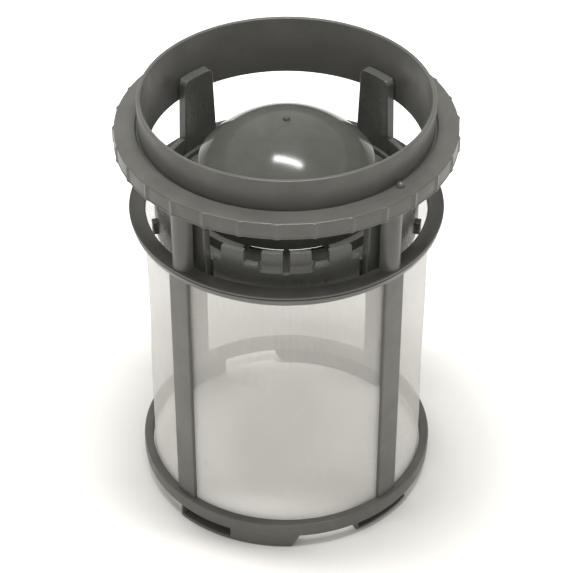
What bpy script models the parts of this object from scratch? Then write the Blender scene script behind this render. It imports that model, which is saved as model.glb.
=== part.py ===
"""Dishwasher filter: a serrated upper housing, a coarse strainer with a dome, and a mesh cage.

Lengths below are in millimetres and become metres when a shape is made. The filter stands on the
lugs of its cage, with +Z up and its origin under its centre. An azimuth is in degrees, 0 towards
the front (-Y) and growing towards the right (+X).
"""
import math

import bmesh
import bpy

MM = 0.001
FULL_TURN = 360.0
HALF_TURN = 180.0
TURN_STEPS = 60
ARC_STEP = 5.0
CORNER_STEPS = 4
COLLECTION_NAME = "dishwasher_filter"

# Fits
CLEARANCE = 0.3
FUSE = 0.5

# Mesh sleeve
SLEEVE_RADIUS = 38.5
SLEEVE_WALL = 0.4
SLEEVE_WAIST = 1.3
SLEEVE_FULLNESS = 0.8
SLEEVE_ROWS = 5

# Cage: lugs, base ring, bars and top ring, from the bottom up
LUG_HEIGHT = 4.0
LUG_INSET = 1.2
BASE_RING_HEIGHT = 4.2
BASE_RING_WIDTH = 2.5
BASE_RING_EDGE = 0.25
MESH_WINDOW_HEIGHT = 78.4
BAR_THICKNESS = 1.1
BAR_WIDTH = 6.8
BAR_INSET = 0.1
BAR_CROWN = 0.22
BAR_SHOULDER = 0.7
TOP_RING_HEIGHT = 1.8
TOP_RING_WIDTH = 2.6
TOP_RING_DRAFT = 0.5
MESH_BAND_HEIGHT = 1.6
MESH_BAND_THICKNESS = 0.9
CORNER_AZIMUTHS = (-135.0, -45.0, 45.0, 135.0)

# Bayonet lugs, given once and repeated half a turn round
LUG_TURNS = (0.0, 180.0)
GRIP_LUG = (-46.0, 3.7)
GRIP_LUG_SLANT = 2.4
GRIP_SLOT = (-44.0, -22.4)
GRIP_SLOT_DEPTH = 1.4
GRIP_SLOT_SILL = 1.0
LUG_ROOT_ANGLE = 1.0
SHADED_LUG = (29.5, 57.8)
SHADED_LUG_STEP = 1.4

# Upper housing: lower flange, windows, grip flange and collar, from the bottom up
SPIGOT_INSET = 0.8
SPIGOT_WALL = 1.4
LOWER_FLANGE_THICKNESS = 0.8
LOWER_FLANGE_WIDTH = 4.4
SNAP_GROOVE_HEIGHT = 1.1
SNAP_GROOVE_DEPTH = 0.6
SNAP_GROOVE_DROP = 0.22
WINDOW_HEIGHT = 20.6
POST_AZIMUTHS = (-137.0, -43.0, 43.0, 137.0)
POST_WIDTH = 6.0
POST_FLAT = 0.5
POST_FLARE = 0.8
POST_FLARE_HEIGHT = 1.4
GRIP_HEIGHT = 4.5
GRIP_WIDTH = 6.2
GRIP_WEB = 1.7
GRIP_WALL = 1.5
GRIP_EDGE = 0.5
GRIP_FOOT_EDGE = 0.3
RIDGE_COUNT = 30
RIDGE_HEIGHT = 0.45
RIDGE_HALF_ANGLE = 1.25
RIDGE_OFFSET = 9.0
COLLAR_HEIGHT = 8.4
COLLAR_RIM_WALL = 1.1
COLLAR_SKIRT_WALL = 1.2
COLLAR_SKIRT_DROP = 3.4
COLLAR_SKIRT_TAPER = 1.2
COLLAR_FLARE = 2.4
COLLAR_EDGE = 0.35
PIP_AZIMUTH = 44.6
PIP_RADIUS = 0.9
PIP_GAP = 0.8

# Coarse strainer
STRAINER_MARGIN = 2.4
STRAINER_WALL = 1.4
STRAINER_DROP = 2.6
STRAINER_FOOT = 1.6
STRAINER_HEIGHT = 11.5
SILL_DROP = 1.3
TOOTH_RISE = 2.3
OUTER_TOOTH = (18.2, 28.0)
INNER_TOOTH = (1.3, 10.5)
INNER_TOOTH_STEP = 0.5
INNER_TOOTH_HEIGHT = 5.3
INNER_TOOTH_MARGIN = 1.0
CENTRE_SLOT_DROP = 1.4
TAB_BREAK_HALF_ANGLE = 12.0
TAB_STEP = 0.7
TAB_THICKNESS = 2.4
TAB_TOP_WIDTH = 10.6
TAB_FOOT_WIDTH = 13.2
TAB_CORNER = 2.0
TAB_SINK = 1.1
ARM_HALF_ANGLE = 20.6
ARM_THICKNESS = 1.4
ARM_NOTCH = 2.6
ARM_NOTCH_MARGIN = 0.5
LOCATING_RIB_AZIMUTHS = (-103.0, -77.0, 77.0, 103.0)
LOCATING_RIB_WIDTH = 2.4
LOCATING_RIB_HEIGHT = 3.8
LOCATING_RIB_RISE = 0.76
BEAD_HEIGHT = 0.55
BEAD_WIDTH = 1.9

# Dome and the slotted ring under it, from the wall inwards
STRAINER_GAP = 7.9
DOME_RIM_ANGLE = 56.0
DOME_WALL = 1.2
DOME_STEPS = 6
FLARE_STEPS = 3
DOME_RIM_RISE = 9.6
DOME_RIM_DEPTH = 4.2
SKIRT_FLARE = 2.8
SKIRT_FLARE_HEIGHT = 3.3
SLOT_TOP_DROP = 1.0
SLOT_HEIGHT = 1.5
SLOT_ANGLES = (1.2, 21.5)
GATE_RADIUS = 0.9
GATE_HEIGHT = 0.45
GATE_ROUNDING = 0.7

# Radii worked out from the sleeve outwards and inwards
BORE = SLEEVE_RADIUS - SPIGOT_INSET
CAGE_BORE = SLEEVE_RADIUS + CLEARANCE
BASE_RING_RADIUS = CAGE_BORE + BASE_RING_WIDTH
SPIGOT_RADIUS = BORE + SPIGOT_WALL
TOP_RING_BORE = SPIGOT_RADIUS + CLEARANCE
TOP_RING_RADIUS = TOP_RING_BORE + TOP_RING_WIDTH
LOWER_FLANGE_RADIUS = BORE + LOWER_FLANGE_WIDTH
STRAINER_RADIUS = BORE - STRAINER_MARGIN
STRAINER_BORE = STRAINER_RADIUS - STRAINER_WALL
TAB_RADIUS = STRAINER_RADIUS + TAB_STEP
COLLAR_BORE = TAB_RADIUS + CLEARANCE
COLLAR_RADIUS = COLLAR_BORE + COLLAR_FLARE
GRIP_RADIUS = COLLAR_RADIUS + GRIP_WIDTH
SKIRT_RADIUS = STRAINER_BORE - STRAINER_GAP
SKIRT_BORE = SKIRT_RADIUS - DOME_WALL
DOME_RIM_RADIUS = SKIRT_RADIUS - SKIRT_FLARE
DOME_SPHERE_RADIUS = DOME_RIM_RADIUS / math.sin(math.radians(DOME_RIM_ANGLE))

# Heights worked out from the floor up
BASE_RING_TOP = LUG_HEIGHT + BASE_RING_HEIGHT
TOP_RING_BOTTOM = BASE_RING_TOP + MESH_WINDOW_HEIGHT
TOP_RING_TOP = TOP_RING_BOTTOM + TOP_RING_HEIGHT
LOWER_FLANGE_BOTTOM = TOP_RING_TOP + CLEARANCE
LOWER_FLANGE_TOP = LOWER_FLANGE_BOTTOM + LOWER_FLANGE_THICKNESS
SPIGOT_BOTTOM = TOP_RING_BOTTOM + 2.0 * CLEARANCE
GRIP_BOTTOM = LOWER_FLANGE_TOP + WINDOW_HEIGHT
GRIP_TOP = GRIP_BOTTOM + GRIP_HEIGHT
COLLAR_TOP = GRIP_TOP + COLLAR_HEIGHT
COLLAR_BOTTOM = GRIP_BOTTOM - COLLAR_SKIRT_DROP
SNAP_MIDDLE = LOWER_FLANGE_BOTTOM - SNAP_GROOVE_DROP
STRAINER_BOTTOM = TOP_RING_BOTTOM - STRAINER_DROP
STRAINER_TOP = STRAINER_BOTTOM + STRAINER_HEIGHT
SILL = STRAINER_TOP - SILL_DROP
TOOTH_TOP = STRAINER_TOP + TOOTH_RISE
ARM_TOP = SILL - CLEARANCE
DOME_RIM_Z = ARM_TOP + DOME_RIM_RISE
TAB_TOP = GRIP_TOP - TAB_SINK
SLOT_TOP = ARM_TOP - SLOT_TOP_DROP


def remove_objects():
    """Clear the scene's objects, and leave the file open."""
    for old in list(bpy.data.objects):
        bpy.data.objects.remove(old, do_unlink=True)


def collection(name):
    """Make a collection in the scene."""
    made = bpy.data.collections.new(name)
    bpy.context.scene.collection.children.link(made)
    return made


remove_objects()
PARTS = collection(COLLECTION_NAME)
CUTTERS = collection("cutters")


def place(radius, azimuth):
    """X and Y in millimetres of a point at a radius and an azimuth."""
    angle = math.radians(azimuth)
    return radius * math.sin(angle), -radius * math.cos(angle)


def arc(radius, start, end):
    """Points along an arc, from one azimuth to another, in either direction."""
    count = max(1, math.ceil(abs(end - start) / ARC_STEP))
    return [place(radius, start + (end - start) * i / count) for i in range(count + 1)]


def sector(inner, outer, start, end):
    """Outline of a ring's sector between two radii and two azimuths."""
    return arc(outer, start, end) + arc(inner, end, start)


def add_mesh(name, mesh):
    """Put a mesh into the scene as an object of the part."""
    made = bpy.data.objects.new(name, mesh)
    PARTS.objects.link(made)
    return made


def turned(name, profile):
    """Turn a closed outline of (radius, height) points round Z. It runs down its outer side."""
    mesh = bpy.data.meshes.new(name)
    points = [(radius * MM, 0.0, height * MM) for radius, height in profile]
    closed = profile[0][0] > 0.0 or profile[-1][0] > 0.0
    edges = [(i, i + 1) for i in range(len(points) - 1)]
    if closed:
        edges.append((len(points) - 1, 0))
    mesh.from_pydata(points, edges, [])
    made = add_mesh(name, mesh)
    screw = made.modifiers.new("turn", "SCREW")
    screw.axis = "Z"
    screw.angle = math.radians(FULL_TURN)
    screw.steps = TURN_STEPS
    screw.render_steps = TURN_STEPS
    screw.use_merge_vertices = True
    screw.merge_threshold = 0.00001
    return made


def as_mesh(source):
    """Replace an object by its evaluated mesh, with its loose caps welded."""
    bpy.context.view_layer.update()
    evaluated = source.evaluated_get(bpy.context.evaluated_depsgraph_get())
    mesh = bpy.data.meshes.new_from_object(evaluated)
    shape = bmesh.new()
    shape.from_mesh(mesh)
    bmesh.ops.remove_doubles(shape, verts=shape.verts, dist=0.000001)
    shape.to_mesh(mesh)
    shape.free()
    name = source.name
    place_in_world = source.matrix_world.copy()
    bpy.data.objects.remove(source, do_unlink=True)
    made = add_mesh(name, mesh)
    made.matrix_world = place_in_world
    return made


def plate(name, outlines, bottom, top):
    """Extrude flat outlines from one height to another. Later outlines are holes in the first."""
    flat = bpy.data.curves.new(name, "CURVE")
    flat.dimensions = "2D"
    flat.fill_mode = "BOTH"
    flat.extrude = (top - bottom) / 2.0 * MM
    for outline in outlines:
        spline = flat.splines.new("POLY")
        spline.points.add(len(outline) - 1)
        for point, (x, y) in zip(spline.points, outline):
            point.co = (x * MM, y * MM, 0.0, 1.0)
        spline.use_cyclic_u = True
    made = bpy.data.objects.new(name, flat)
    PARTS.objects.link(made)
    made.location.z = (top + bottom) / 2.0 * MM
    return as_mesh(made)


def loft(name, sections):
    """Join like outlines, each a list of (x, y, z) points, with flat triangles on the sides."""
    shape = bmesh.new()
    rings = [[shape.verts.new([v * MM for v in point]) for point in section] for section in sections]
    count = len(rings[0])
    for low, high in zip(rings, rings[1:]):
        for i in range(count):
            j = (i + 1) % count
            shape.faces.new((low[i], low[j], high[i]))
            shape.faces.new((low[j], high[j], high[i]))
    shape.faces.new(rings[0])
    shape.faces.new(rings[-1])
    bmesh.ops.recalc_face_normals(shape, faces=shape.faces)
    mesh = bpy.data.meshes.new(name)
    shape.to_mesh(mesh)
    shape.free()
    return add_mesh(name, mesh)


def patterned(name, source, azimuths):
    """Gather copies of an object that faces the front, one turned to each azimuth."""
    source = as_mesh(source)
    shape = bmesh.new()
    for azimuth in azimuths:
        copy = bmesh.new()
        copy.from_mesh(source.data)
        copy.transform(source.matrix_world)
        turn = math.radians(azimuth)
        for vert in copy.verts:
            x, y, z = vert.co
            vert.co = (x * math.cos(turn) - y * math.sin(turn), x * math.sin(turn) + y * math.cos(turn), z)
        mesh = bpy.data.meshes.new(name)
        copy.to_mesh(mesh)
        copy.free()
        shape.from_mesh(mesh)
        bpy.data.meshes.remove(mesh)
    mesh = bpy.data.meshes.new(name)
    shape.to_mesh(mesh)
    shape.free()
    bpy.data.objects.remove(source, do_unlink=True)
    return add_mesh(name, mesh)


def boolean(target, tool, operation):
    """Join, cut or keep the overlap of a target with a tool, which moves to the cutters."""
    modifier = target.modifiers.new(tool.name, "BOOLEAN")
    modifier.operation = operation
    modifier.solver = "EXACT"
    modifier.object = tool
    tool.hide_render = True
    tool.display_type = "WIRE"
    for holder in list(tool.users_collection):
        holder.objects.unlink(tool)
    CUTTERS.objects.link(tool)


def join(target, *tools):
    """Join tools to a target."""
    for tool in tools:
        boolean(target, tool, "UNION")


def cut(target, *tools):
    """Cut tools out of a target."""
    for tool in tools:
        boolean(target, tool, "DIFFERENCE")


def finish(piece, colour, roughness):
    """Give a piece its own plastic and smooth shading with crisp edges."""
    mesh = piece.data
    mesh.shade_smooth()
    mesh.set_sharp_from_angle(angle=math.radians(30.0))
    material = bpy.data.materials.new(piece.name + "_plastic")
    material.use_nodes = True
    shader = material.node_tree.nodes["Principled BSDF"]
    shader.inputs["Base Color"].default_value = (*colour, 1.0)
    shader.inputs["Roughness"].default_value = roughness
    shader.inputs["Metallic"].default_value = 0.0
    material.diffuse_color = (*colour, 1.0)
    mesh.materials.append(material)


def ridge_section(height, rise):
    """Triangular section of a ridge at the front, with its base sunk into the flange's wall."""
    half = GRIP_RADIUS * math.radians(RIDGE_HALF_ANGLE) * (1.0 + FUSE / RIDGE_HEIGHT)
    base = GRIP_RADIUS - FUSE
    return [(half, -base, height), (0.0, -GRIP_RADIUS - rise, height), (-half, -base, height)]


def make_ridges():
    """Narrow ridges round the grip flange, running out into its wall at both ends."""
    sunk = -0.75 * FUSE
    ridge = loft("ridge", [
        ridge_section(GRIP_BOTTOM + GRIP_FOOT_EDGE / 2.0, sunk),
        ridge_section(GRIP_BOTTOM + GRIP_FOOT_EDGE * 2.0, RIDGE_HEIGHT),
        ridge_section(GRIP_TOP - GRIP_EDGE * 1.5, RIDGE_HEIGHT),
        ridge_section(GRIP_TOP - GRIP_EDGE / 2.0, sunk)])
    pitch = FULL_TURN / RIDGE_COUNT
    return patterned("ridges", ridge, [RIDGE_OFFSET + index * pitch for index in range(RIDGE_COUNT)])


def make_grip_flange():
    """The grip flange: a top web and an outer wall round an open channel underneath."""
    wall_bore = GRIP_RADIUS - GRIP_WALL
    web_bottom = GRIP_TOP - GRIP_WEB
    boss_radius = COLLAR_RADIUS + COLLAR_SKIRT_WALL
    hole = COLLAR_RADIUS - COLLAR_RIM_WALL
    return turned("grip_flange", [
        (GRIP_RADIUS - GRIP_EDGE, GRIP_TOP), (GRIP_RADIUS, GRIP_TOP - GRIP_EDGE),
        (GRIP_RADIUS, GRIP_BOTTOM + GRIP_FOOT_EDGE), (GRIP_RADIUS - GRIP_FOOT_EDGE, GRIP_BOTTOM),
        (wall_bore, GRIP_BOTTOM), (wall_bore, web_bottom), (boss_radius, web_bottom),
        (boss_radius, GRIP_BOTTOM), (hole, GRIP_BOTTOM), (hole, GRIP_TOP)])


def make_collar():
    """The plain collar above the flange, and its skirt that narrows below it."""
    rim_bore = COLLAR_RADIUS - COLLAR_RIM_WALL
    skirt_radius = COLLAR_BORE + COLLAR_SKIRT_WALL
    return turned("collar", [
        (COLLAR_RADIUS - COLLAR_EDGE, COLLAR_TOP), (COLLAR_RADIUS, COLLAR_TOP - COLLAR_EDGE),
        (COLLAR_RADIUS, GRIP_BOTTOM - FUSE), (skirt_radius, GRIP_BOTTOM - FUSE - COLLAR_SKIRT_TAPER),
        (skirt_radius, COLLAR_BOTTOM), (COLLAR_BORE, COLLAR_BOTTOM),
        (rim_bore, COLLAR_TOP - COLLAR_EDGE), (rim_bore + COLLAR_EDGE, COLLAR_TOP)])


def make_lower_flange():
    """The lower flange with the spigot that drops into the cage, and the groove for the beads."""
    groove_radius = BORE + SNAP_GROOVE_DEPTH
    groove_top = SNAP_MIDDLE + SNAP_GROOVE_HEIGHT / 2.0
    groove_bottom = SNAP_MIDDLE - SNAP_GROOVE_HEIGHT / 2.0
    edge = LOWER_FLANGE_THICKNESS / 4.0
    return turned("lower_flange", [
        (LOWER_FLANGE_RADIUS - edge, LOWER_FLANGE_TOP), (LOWER_FLANGE_RADIUS, LOWER_FLANGE_TOP - edge),
        (LOWER_FLANGE_RADIUS, LOWER_FLANGE_BOTTOM), (SPIGOT_RADIUS, LOWER_FLANGE_BOTTOM),
        (SPIGOT_RADIUS, SPIGOT_BOTTOM), (BORE, SPIGOT_BOTTOM), (BORE, groove_bottom),
        (groove_radius, groove_bottom), (groove_radius, groove_top), (BORE, groove_top),
        (BORE, LOWER_FLANGE_TOP)])


def post_section(height, flare):
    """D-shaped section of a post at the front, grown all round its curved side by the flare."""
    middle = BORE + SPIGOT_INSET
    radius = POST_WIDTH / 2.0 + flare
    points = [(radius, -BORE - POST_FLAT / 2.0, height)]
    for index in range(2 * CORNER_STEPS + 1):
        angle = math.pi * index / (2.0 * CORNER_STEPS)
        limit = LOWER_FLANGE_RADIUS - middle - POST_FLAT
        points.append((radius * math.cos(angle), -middle - min(radius * math.sin(angle), limit), height))
    points.append((-radius, -BORE - POST_FLAT / 2.0, height))
    return points


def make_posts():
    """Four half-round posts from the lower flange to the grip flange, flared at both ends."""
    levels = [
        (LOWER_FLANGE_TOP - LOWER_FLANGE_THICKNESS / 2.0, POST_FLARE),
        (LOWER_FLANGE_TOP + POST_FLARE_HEIGHT / 3.0, POST_FLARE / 3.0),
        (LOWER_FLANGE_TOP + POST_FLARE_HEIGHT, 0.0),
        (GRIP_BOTTOM - POST_FLARE_HEIGHT, 0.0),
        (GRIP_BOTTOM - POST_FLARE_HEIGHT / 3.0, POST_FLARE / 3.0),
        (GRIP_TOP - GRIP_WEB / 2.0, POST_FLARE)]
    post = loft("post", [post_section(height, flare) for height, flare in levels])
    return patterned("posts", post, POST_AZIMUTHS)


def make_pip():
    """The small round index pip on the flange, beside the collar."""
    x, y = place(COLLAR_RADIUS + PIP_GAP + PIP_RADIUS, PIP_AZIMUTH)
    shape = bmesh.new()
    bmesh.ops.create_uvsphere(shape, u_segments=12, v_segments=6, radius=PIP_RADIUS * MM)
    mesh = bpy.data.meshes.new("pip")
    bmesh.ops.translate(shape, verts=shape.verts, vec=(x * MM, y * MM, GRIP_TOP * MM))
    shape.to_mesh(mesh)
    shape.free()
    return add_mesh("pip", mesh)


def make_upper_housing():
    """One moulding: lower flange, posts, serrated grip flange and collar."""
    housing = make_collar()
    housing.name = "upper_housing"
    join(housing, make_grip_flange(), make_pip(), make_ridges(), make_lower_flange(), make_posts())
    finish(housing, (0.095, 0.095, 0.088), 0.42)


def cutter(name, inner, outer, start, end, bottom, top):
    """A ring sector, made to be cut out of a wall or joined to it."""
    return plate(name, [sector(inner, outer, start, end)], bottom, top)


def make_strainer_wall():
    """The strainer's wall: castellated in front, plain at the sides and back, parted at the tabs."""
    inside = STRAINER_BORE - FUSE
    outside = STRAINER_RADIUS + FUSE
    above = TOOTH_TOP + FUSE
    wall = turned("coarse_strainer", [
        (STRAINER_RADIUS, TOOTH_TOP), (STRAINER_RADIUS, STRAINER_BOTTOM),
        (STRAINER_BORE, STRAINER_BOTTOM), (STRAINER_BORE, TOOTH_TOP)])
    corner = CORNER_AZIMUTHS[2]
    cut(wall, cutter("plain_wall_top", inside, outside, corner, FULL_TURN - corner, STRAINER_TOP, above))
    cut(wall, cutter("back_wall_top", inside, outside, HALF_TURN - corner, HALF_TURN + corner, SILL, above))
    tab_break = cutter("tab_break", inside, outside, -TAB_BREAK_HALF_ANGLE, TAB_BREAK_HALF_ANGLE,
                       STRAINER_BOTTOM + STRAINER_FOOT, above)
    cut(wall, patterned("tab_breaks", tab_break, CORNER_AZIMUTHS))
    for side in (-1.0, 1.0):
        end_step = cutter("end_step", inside, outside, side * OUTER_TOOTH[1], side * corner, SILL, above)
        gap = cutter("tooth_gap", inside, outside, side * INNER_TOOTH[1], side * OUTER_TOOTH[0], SILL, above)
        cut(wall, end_step, gap)
    half_step = INNER_TOOTH[1] + INNER_TOOTH_MARGIN
    cut(wall, cutter("inner_tooth_face", STRAINER_RADIUS - INNER_TOOTH_STEP, outside, -half_step, half_step,
                     TOOTH_TOP - INNER_TOOTH_HEIGHT, above))
    cut(wall, cutter("centre_slot", inside, outside, -INNER_TOOTH[0], INNER_TOOTH[0],
                     SILL - CENTRE_SLOT_DROP, above))
    return wall


def make_tabs():
    """Four tall finger tabs that stand in the breaks of the wall, inside the collar."""
    foot = STRAINER_BOTTOM + STRAINER_FOOT / 2.0
    half_foot = TAB_FOOT_WIDTH / 2.0
    half_top = TAB_TOP_WIDTH / 2.0
    outline = [(-half_foot, foot), (half_foot, foot)]
    for index in range(CORNER_STEPS + 1):
        angle = math.pi / 2.0 * index / CORNER_STEPS
        outline.append((half_top - TAB_CORNER * (1.0 - math.cos(angle)),
                        TAB_TOP - TAB_CORNER * (1.0 - math.sin(angle))))
    for index in range(CORNER_STEPS + 1):
        angle = math.pi / 2.0 * (1.0 + index / CORNER_STEPS)
        outline.append((-half_top + TAB_CORNER * (1.0 + math.cos(angle)),
                        TAB_TOP - TAB_CORNER * (1.0 - math.sin(angle))))
    front = TAB_RADIUS + FUSE
    back = TAB_RADIUS - TAB_THICKNESS - 2.0 * FUSE
    tab = loft("tab", [[(x, -y, z) for x, z in outline] for y in (front, back)])
    tube = turned("tab_tube", [
        (TAB_RADIUS, TAB_TOP + FUSE), (TAB_RADIUS, STRAINER_BOTTOM - FUSE),
        (TAB_RADIUS - TAB_THICKNESS, STRAINER_BOTTOM - FUSE), (TAB_RADIUS - TAB_THICKNESS, TAB_TOP + FUSE)])
    boolean(tab, tube, "INTERSECT")
    return patterned("tabs", tab, CORNER_AZIMUTHS)


def make_arms():
    """Four flat arms from the dome's skirt to the wall, notched behind the tabs."""
    inner = SKIRT_RADIUS - DOME_WALL / 2.0
    outer = STRAINER_RADIUS - STRAINER_WALL / 2.0
    notch = outer - ARM_NOTCH
    half_notch = TAB_BREAK_HALF_ANGLE + ARM_NOTCH_MARGIN
    outline = arc(inner, ARM_HALF_ANGLE, -ARM_HALF_ANGLE)
    outline += arc(outer, -ARM_HALF_ANGLE, -half_notch)
    outline += arc(notch, -half_notch, half_notch)
    outline += arc(outer, half_notch, ARM_HALF_ANGLE)
    arm = plate("arm", [outline], ARM_TOP - ARM_THICKNESS, ARM_TOP)
    return patterned("arms", arm, CORNER_AZIMUTHS)


def make_dome():
    """The dome with its flared skirt and the slotted ring below, one thin wall all the way."""
    rim_angle = math.radians(DOME_RIM_ANGLE)
    centre = DOME_RIM_Z - DOME_SPHERE_RADIUS * math.cos(rim_angle)
    inner_sphere = DOME_SPHERE_RADIUS - DOME_WALL
    apex = centre + DOME_SPHERE_RADIUS
    outside = [(0.0, apex + GATE_HEIGHT), (GATE_RADIUS * GATE_ROUNDING, apex + GATE_HEIGHT * GATE_ROUNDING),
               (GATE_RADIUS, apex)]
    inside = [(0.0, centre + inner_sphere)]
    for index in range(1, DOME_STEPS + 1):
        angle = rim_angle * index / DOME_STEPS
        outside.append((DOME_SPHERE_RADIUS * math.sin(angle), centre + DOME_SPHERE_RADIUS * math.cos(angle)))
        inside.append((inner_sphere * math.sin(angle), centre + inner_sphere * math.cos(angle)))
    waist = DOME_RIM_Z - DOME_RIM_DEPTH
    for index in range(FLARE_STEPS + 1):
        angle = math.pi / 2.0 * index / FLARE_STEPS
        flare = SKIRT_FLARE * (1.0 - math.cos(angle))
        height = waist - SKIRT_FLARE_HEIGHT * math.sin(angle)
        outside.append((DOME_RIM_RADIUS + flare, height))
        inside.append((DOME_RIM_RADIUS + flare - DOME_WALL, height - DOME_WALL * math.cos(angle) / 4.0))
    outside += [(SKIRT_RADIUS, STRAINER_BOTTOM), (SKIRT_BORE, STRAINER_BOTTOM)]
    dome = turned("dome", outside + inside[::-1])
    slots = []
    for side in (-1.0, 1.0):
        slot = cutter("dome_slot", SKIRT_BORE - FUSE, SKIRT_RADIUS + FUSE, side * SLOT_ANGLES[0],
                      side * SLOT_ANGLES[1], SLOT_TOP - SLOT_HEIGHT, SLOT_TOP)
        slots.append(patterned("dome_slots", slot, (0.0, 90.0, 180.0, 270.0)))
    cut(dome, *slots)
    return dome


def make_locating_ribs():
    """Short ribs that centre the strainer in the lower flange, each with a bead for its groove."""
    half = math.degrees(LOCATING_RIB_WIDTH / 2.0 / STRAINER_RADIUS)
    half_bead = math.degrees(BEAD_WIDTH / 2.0 / STRAINER_RADIUS)
    top = SNAP_MIDDLE + LOCATING_RIB_RISE
    rib = cutter("rib", STRAINER_RADIUS - STRAINER_WALL / 2.0, BORE - CLEARANCE, -half, half,
                 top - LOCATING_RIB_HEIGHT, top)
    bead = cutter("bead", BORE - 2.0 * CLEARANCE, BORE + SNAP_GROOVE_DEPTH - CLEARANCE, -half_bead, half_bead,
                  SNAP_MIDDLE - BEAD_HEIGHT / 2.0, SNAP_MIDDLE + BEAD_HEIGHT / 2.0)
    join(rib, bead)
    return patterned("locating_ribs", rib, LOCATING_RIB_AZIMUTHS)


def make_coarse_strainer():
    """One moulding: castellated wall, finger tabs, arms, and the dome on its slotted ring."""
    strainer = make_strainer_wall()
    join(strainer, make_tabs(), make_arms(), make_dome(), make_locating_ribs())
    finish(strainer, (0.085, 0.085, 0.078), 0.30)


def make_base_ring():
    """The ring round the foot of the mesh, with its top slightly sloped."""
    return turned("mesh_cage", [
        (BASE_RING_RADIUS - BASE_RING_EDGE, BASE_RING_TOP), (BASE_RING_RADIUS, BASE_RING_TOP - BASE_RING_EDGE),
        (BASE_RING_RADIUS, LUG_HEIGHT), (CAGE_BORE, LUG_HEIGHT), (CAGE_BORE, BASE_RING_TOP)])


def make_top_ring():
    """The ring under the housing's lower flange, with the band below it that holds the mesh."""
    band_radius = CAGE_BORE + MESH_BAND_THICKNESS
    return turned("top_ring", [
        (TOP_RING_RADIUS, TOP_RING_TOP), (TOP_RING_RADIUS - TOP_RING_DRAFT, TOP_RING_BOTTOM),
        (band_radius, TOP_RING_BOTTOM), (band_radius, TOP_RING_BOTTOM - MESH_BAND_HEIGHT),
        (CAGE_BORE, TOP_RING_BOTTOM - MESH_BAND_HEIGHT), (CAGE_BORE, TOP_RING_BOTTOM),
        (TOP_RING_BORE, TOP_RING_BOTTOM), (TOP_RING_BORE, TOP_RING_TOP)])


def make_bars():
    """Four upright bars on the outside of the mesh, with softly crowned faces."""
    half = math.degrees(BAR_WIDTH / 2.0 / SLEEVE_RADIUS)
    face = CAGE_BORE + BAR_THICKNESS
    crown = math.degrees((BAR_WIDTH / 2.0 - BAR_SHOULDER) / SLEEVE_RADIUS)
    outline = arc(CAGE_BORE + BAR_INSET, half, -half)
    outline += [place(face - BAR_CROWN, -half), place(face, -crown), place(face, 0.0)]
    outline += [place(face, crown), place(face - BAR_CROWN, half)]
    bar = plate("bar", [outline], BASE_RING_TOP - BASE_RING_HEIGHT / 2.0, TOP_RING_BOTTOM + CLEARANCE)
    return patterned("bars", bar, CORNER_AZIMUTHS)


def make_lugs():
    """Two pairs of bayonet lugs under the base ring: a long one with a slot, and a set-back one."""
    inner = CAGE_BORE - LUG_INSET
    fused = LUG_HEIGHT + BASE_RING_HEIGHT / 4.0
    start, end = GRIP_LUG
    foot = [(*point, 0.0) for point in sector(inner, BASE_RING_RADIUS, start, end - GRIP_LUG_SLANT)]
    head = [(*point, LUG_HEIGHT) for point in sector(inner, BASE_RING_RADIUS, start, end)]
    long_lug = loft("long_lug", [foot, head])
    tongue = cutter("lug_root", CAGE_BORE + FUSE / 2.0, BASE_RING_RADIUS - FUSE / 2.0, start + LUG_ROOT_ANGLE,
                    end - LUG_ROOT_ANGLE, LUG_HEIGHT / 2.0, fused)
    slot = cutter("lug_slot", BASE_RING_RADIUS - GRIP_SLOT_DEPTH, BASE_RING_RADIUS + FUSE, *GRIP_SLOT,
                  GRIP_SLOT_SILL, LUG_HEIGHT)
    join(long_lug, tongue)
    cut(long_lug, slot)
    shaded = cutter("shaded_lug", inner, BASE_RING_RADIUS - SHADED_LUG_STEP, *SHADED_LUG, 0.0, LUG_HEIGHT)
    root = cutter("shaded_root", CAGE_BORE + FUSE / 2.0, BASE_RING_RADIUS - SHADED_LUG_STEP - FUSE / 4.0,
                  SHADED_LUG[0] + LUG_ROOT_ANGLE, SHADED_LUG[1] - LUG_ROOT_ANGLE, LUG_HEIGHT / 2.0, fused)
    join(shaded, root)
    return [patterned("long_lugs", long_lug, LUG_TURNS), patterned("shaded_lugs", shaded, LUG_TURNS)]


def make_mesh_cage():
    """One moulding round the mesh: base ring, lugs, bars and top ring."""
    cage = make_base_ring()
    join(cage, make_bars(), make_top_ring(), *make_lugs())
    finish(cage, (0.095, 0.095, 0.088), 0.45)


def make_mesh_sleeve():
    """The woven sleeve, held by the bars and drawn in a little between them at mid height."""
    bottom = LUG_HEIGHT + CLEARANCE
    top = SPIGOT_BOTTOM - CLEARANCE
    rows = [top + (bottom - top) * row / SLEEVE_ROWS for row in range(SLEEVE_ROWS + 1)]
    outside = [(SLEEVE_RADIUS, height) for height in rows]
    inside = [(SLEEVE_RADIUS - SLEEVE_WALL, height) for height in reversed(rows)]
    sleeve = as_mesh(turned("mesh_sleeve", outside + inside))
    for vert in sleeve.data.vertices:
        azimuth = math.atan2(vert.co.x, -vert.co.y)
        rise = max(0.0, min(1.0, (vert.co.z / MM - bottom) / (top - bottom)))
        drawn = SLEEVE_WAIST * math.cos(2.0 * azimuth) ** 2 * math.sin(math.pi * rise) ** SLEEVE_FULLNESS
        factor = 1.0 - drawn / SLEEVE_RADIUS
        vert.co.x *= factor
        vert.co.y *= factor
    finish(sleeve, (0.58, 0.57, 0.53), 0.55)


make_upper_housing()
make_coarse_strainer()
make_mesh_cage()
make_mesh_sleeve()
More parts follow.
